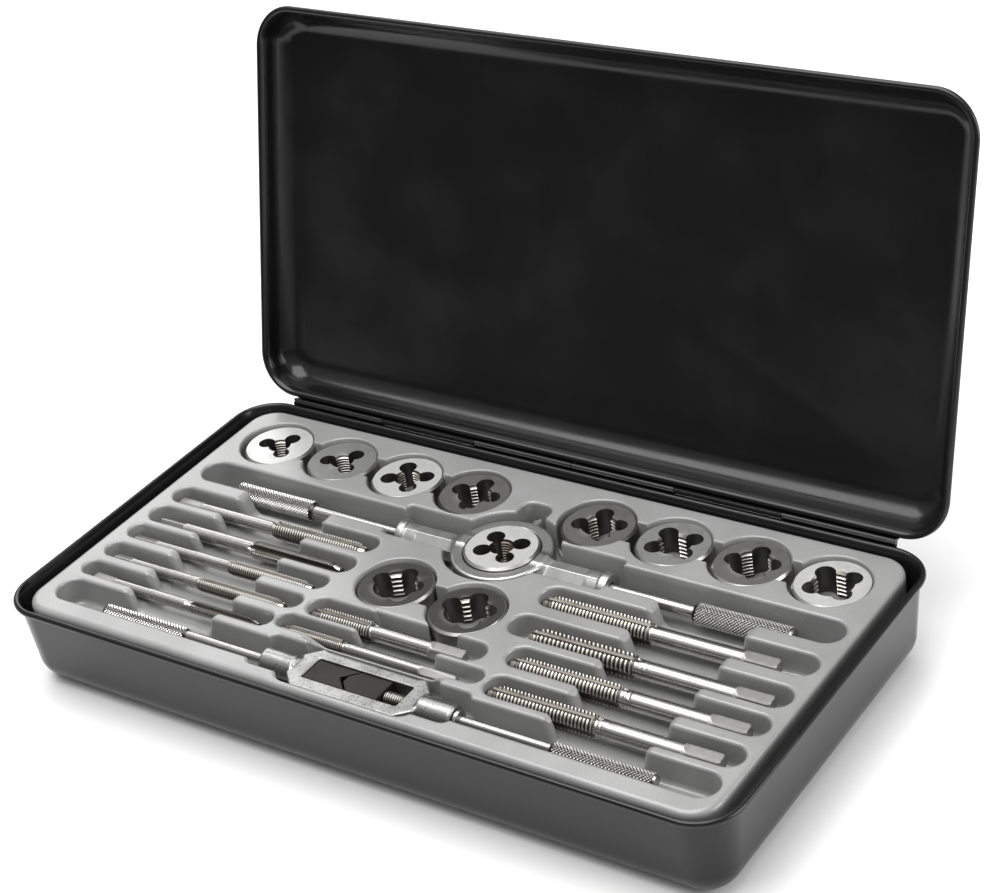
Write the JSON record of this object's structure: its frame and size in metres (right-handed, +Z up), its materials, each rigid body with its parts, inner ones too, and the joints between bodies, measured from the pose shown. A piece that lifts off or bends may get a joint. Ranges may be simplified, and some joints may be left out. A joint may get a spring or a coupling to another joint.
{
  "type": "tap and die storage case",
  "caption": "Hinged tin case with a moulded insert that holds round dies, taps, a die stock and a tap wrench; lid turns back, every tool lifts out.",
  "frame": {"origin": "centre of the case base's flat underside", "axes": "+Z up, +X along the case's front to the right, +Y towards the hinges at the back"},
  "size_m": [0.2702, 0.1883, 0.17],
  "materials": {
    "black_tin": "smooth glossy near-black enamel on pressed tin",
    "grey_plastic": "satin mid-grey moulded plastic",
    "dark_steel": "blackened steel with bright worn edges",
    "bright_steel": "bright ground steel",
    "cast_metal": "satin silver die casting",
    "jaw_steel": "matt dark brown heat-treated steel"
  },
  "bodies": {
    "base": {"case_base": "black_tin", "hinge_left_base_leaf": "black_tin", "hinge_left_pin": "bright_steel", "hinge_right_base_leaf": "black_tin", "hinge_right_pin": "bright_steel"},
    "lid": {"case_lid": "black_tin", "hinge_left_lid_leaf": "black_tin", "hinge_right_lid_leaf": "black_tin"},
    "tray": {"insert_tray": "grey_plastic"},
    "loose_die_1": {"die_1": "bright_steel"},
    "loose_die_2": {"die_2": "dark_steel"},
    "loose_die_3": {"die_3": "bright_steel"},
    "loose_die_4": {"die_4": "dark_steel"},
    "loose_die_5": {"die_5": "dark_steel"},
    "loose_die_6": {"die_6": "dark_steel"},
    "loose_die_7": {"die_7": "dark_steel"},
    "loose_die_8": {"die_8": "bright_steel"},
    "loose_die_9": {"die_9": "dark_steel"},
    "loose_die_10": {"die_10": "dark_steel"},
    "loose_tap_left_1": {"tap_left_1": "bright_steel"},
    "loose_tap_left_2": {"tap_left_2": "bright_steel"},
    "loose_tap_left_3": {"tap_left_3": "bright_steel"},
    "loose_tap_left_4": {"tap_left_4": "bright_steel"},
    "loose_tap_left_5": {"tap_left_5": "bright_steel"},
    "loose_tap_middle_1": {"tap_middle_1": "bright_steel"},
    "loose_tap_middle_2": {"tap_middle_2": "bright_steel"},
    "loose_tap_right_1": {"tap_right_1": "bright_steel"},
    "loose_tap_right_2": {"tap_right_2": "bright_steel"},
    "loose_tap_right_3": {"tap_right_3": "bright_steel"},
    "loose_tap_right_4": {"tap_right_4": "bright_steel"},
    "stock": {"stock_body": "cast_metal", "stock_handle_left": "bright_steel", "stock_handle_right": "bright_steel"},
    "die_in_stock": {"stock_die": "bright_steel"},
    "set_screw": {"stock_set_screw": "bright_steel"},
    "wrench": {"wrench_frame": "cast_metal", "wrench_fixed_jaw": "jaw_steel", "wrench_fixed_handle": "bright_steel"},
    "wrench_jaw": {"wrench_sliding_jaw": "jaw_steel"},
    "wrench_screw": {"wrench_screw_handle": "bright_steel"}
  },
  "joints": [
    {"name": "lid_hinge", "type": "hinge", "parent": "base", "child": "lid", "pos_m": [0, 0.0717, 0.0328], "axis": [-1, 0, 0], "range_deg": [-104.94, 0]},
    {"name": "tray_lift", "type": "slide", "parent": "base", "child": "tray", "axis": [0, 0, 1], "range_m": [0, 0.025]},
    {"name": "die_1_lift", "type": "slide", "parent": "tray", "child": "loose_die_1", "axis": [0, 0, 1], "range_m": [0, 0.02]},
    {"name": "die_2_lift", "type": "slide", "parent": "tray", "child": "loose_die_2", "axis": [0, 0, 1], "range_m": [0, 0.02]},
    {"name": "die_3_lift", "type": "slide", "parent": "tray", "child": "loose_die_3", "axis": [0, 0, 1], "range_m": [0, 0.02]},
    {"name": "die_4_lift", "type": "slide", "parent": "tray", "child": "loose_die_4", "axis": [0, 0, 1], "range_m": [0, 0.02]},
    {"name": "die_5_lift", "type": "slide", "parent": "tray", "child": "loose_die_5", "axis": [0, 0, 1], "range_m": [0, 0.02]},
    {"name": "die_6_lift", "type": "slide", "parent": "tray", "child": "loose_die_6", "axis": [0, 0, 1], "range_m": [0, 0.02]},
    {"name": "die_7_lift", "type": "slide", "parent": "tray", "child": "loose_die_7", "axis": [0, 0, 1], "range_m": [0, 0.02]},
    {"name": "die_8_lift", "type": "slide", "parent": "tray", "child": "loose_die_8", "axis": [0, 0, 1], "range_m": [0, 0.02]},
    {"name": "die_9_lift", "type": "slide", "parent": "tray", "child": "loose_die_9", "axis": [0, 0, 1], "range_m": [0, 0.02]},
    {"name": "die_10_lift", "type": "slide", "parent": "tray", "child": "loose_die_10", "axis": [0, 0, 1], "range_m": [0, 0.02]},
    {"name": "tap_left_1_lift", "type": "slide", "parent": "tray", "child": "loose_tap_left_1", "axis": [0, 0, 1], "range_m": [0, 0.02]},
    {"name": "tap_left_2_lift", "type": "slide", "parent": "tray", "child": "loose_tap_left_2", "axis": [0, 0, 1], "range_m": [0, 0.02]},
    {"name": "tap_left_3_lift", "type": "slide", "parent": "tray", "child": "loose_tap_left_3", "axis": [0, 0, 1], "range_m": [0, 0.02]},
    {"name": "tap_left_4_lift", "type": "slide", "parent": "tray", "child": "loose_tap_left_4", "axis": [0, 0, 1], "range_m": [0, 0.02]},
    {"name": "tap_left_5_lift", "type": "slide", "parent": "tray", "child": "loose_tap_left_5", "axis": [0, 0, 1], "range_m": [0, 0.02]},
    {"name": "tap_middle_1_lift", "type": "slide", "parent": "tray", "child": "loose_tap_middle_1", "axis": [0, 0, 1], "range_m": [0, 0.02]},
    {"name": "tap_middle_2_lift", "type": "slide", "parent": "tray", "child": "loose_tap_middle_2", "axis": [0, 0, 1], "range_m": [0, 0.02]},
    {"name": "tap_right_1_lift", "type": "slide", "parent": "tray", "child": "loose_tap_right_1", "axis": [0, 0, 1], "range_m": [0, 0.02]},
    {"name": "tap_right_2_lift", "type": "slide", "parent": "tray", "child": "loose_tap_right_2", "axis": [0, 0, 1], "range_m": [0, 0.02]},
    {"name": "tap_right_3_lift", "type": "slide", "parent": "tray", "child": "loose_tap_right_3", "axis": [0, 0, 1], "range_m": [0, 0.02]},
    {"name": "tap_right_4_lift", "type": "slide", "parent": "tray", "child": "loose_tap_right_4", "axis": [0, 0, 1], "range_m": [0, 0.02]},
    {"name": "stock_lift", "type": "slide", "parent": "tray", "child": "stock", "axis": [0, 0, 1], "range_m": [0, 0.02]},
    {"name": "stock_die_lift", "type": "slide", "parent": "stock", "child": "die_in_stock", "axis": [0, 0, 1], "range_m": [0, 0.015]},
    {"name": "set_screw_turn", "type": "hinge", "parent": "stock", "child": "set_screw", "pos_m": [0.0017, 0.04399, 0.0249], "axis": [0, 1, 0], "range_deg": [0, 720]},
    {"name": "wrench_lift", "type": "slide", "parent": "tray", "child": "wrench", "axis": [0, 0, 1], "range_m": [0, 0.02]},
    {"name": "jaw_slide", "type": "slide", "parent": "wrench", "child": "wrench_jaw", "axis": [1, 0, 0], "range_m": [0, 0.0073]},
    {"name": "screw_handle_turn", "type": "hinge", "parent": "wrench_jaw", "child": "wrench_screw", "pos_m": [0.05, -0.05248, 0.0267], "axis": [1, 0, 0], "range_deg": [0, 2650]}
  ],
  "couplings": [
    {"joint": "screw_handle_turn", "follows": "jaw_slide", "rad_per_m": 6283.2}
  ]
}
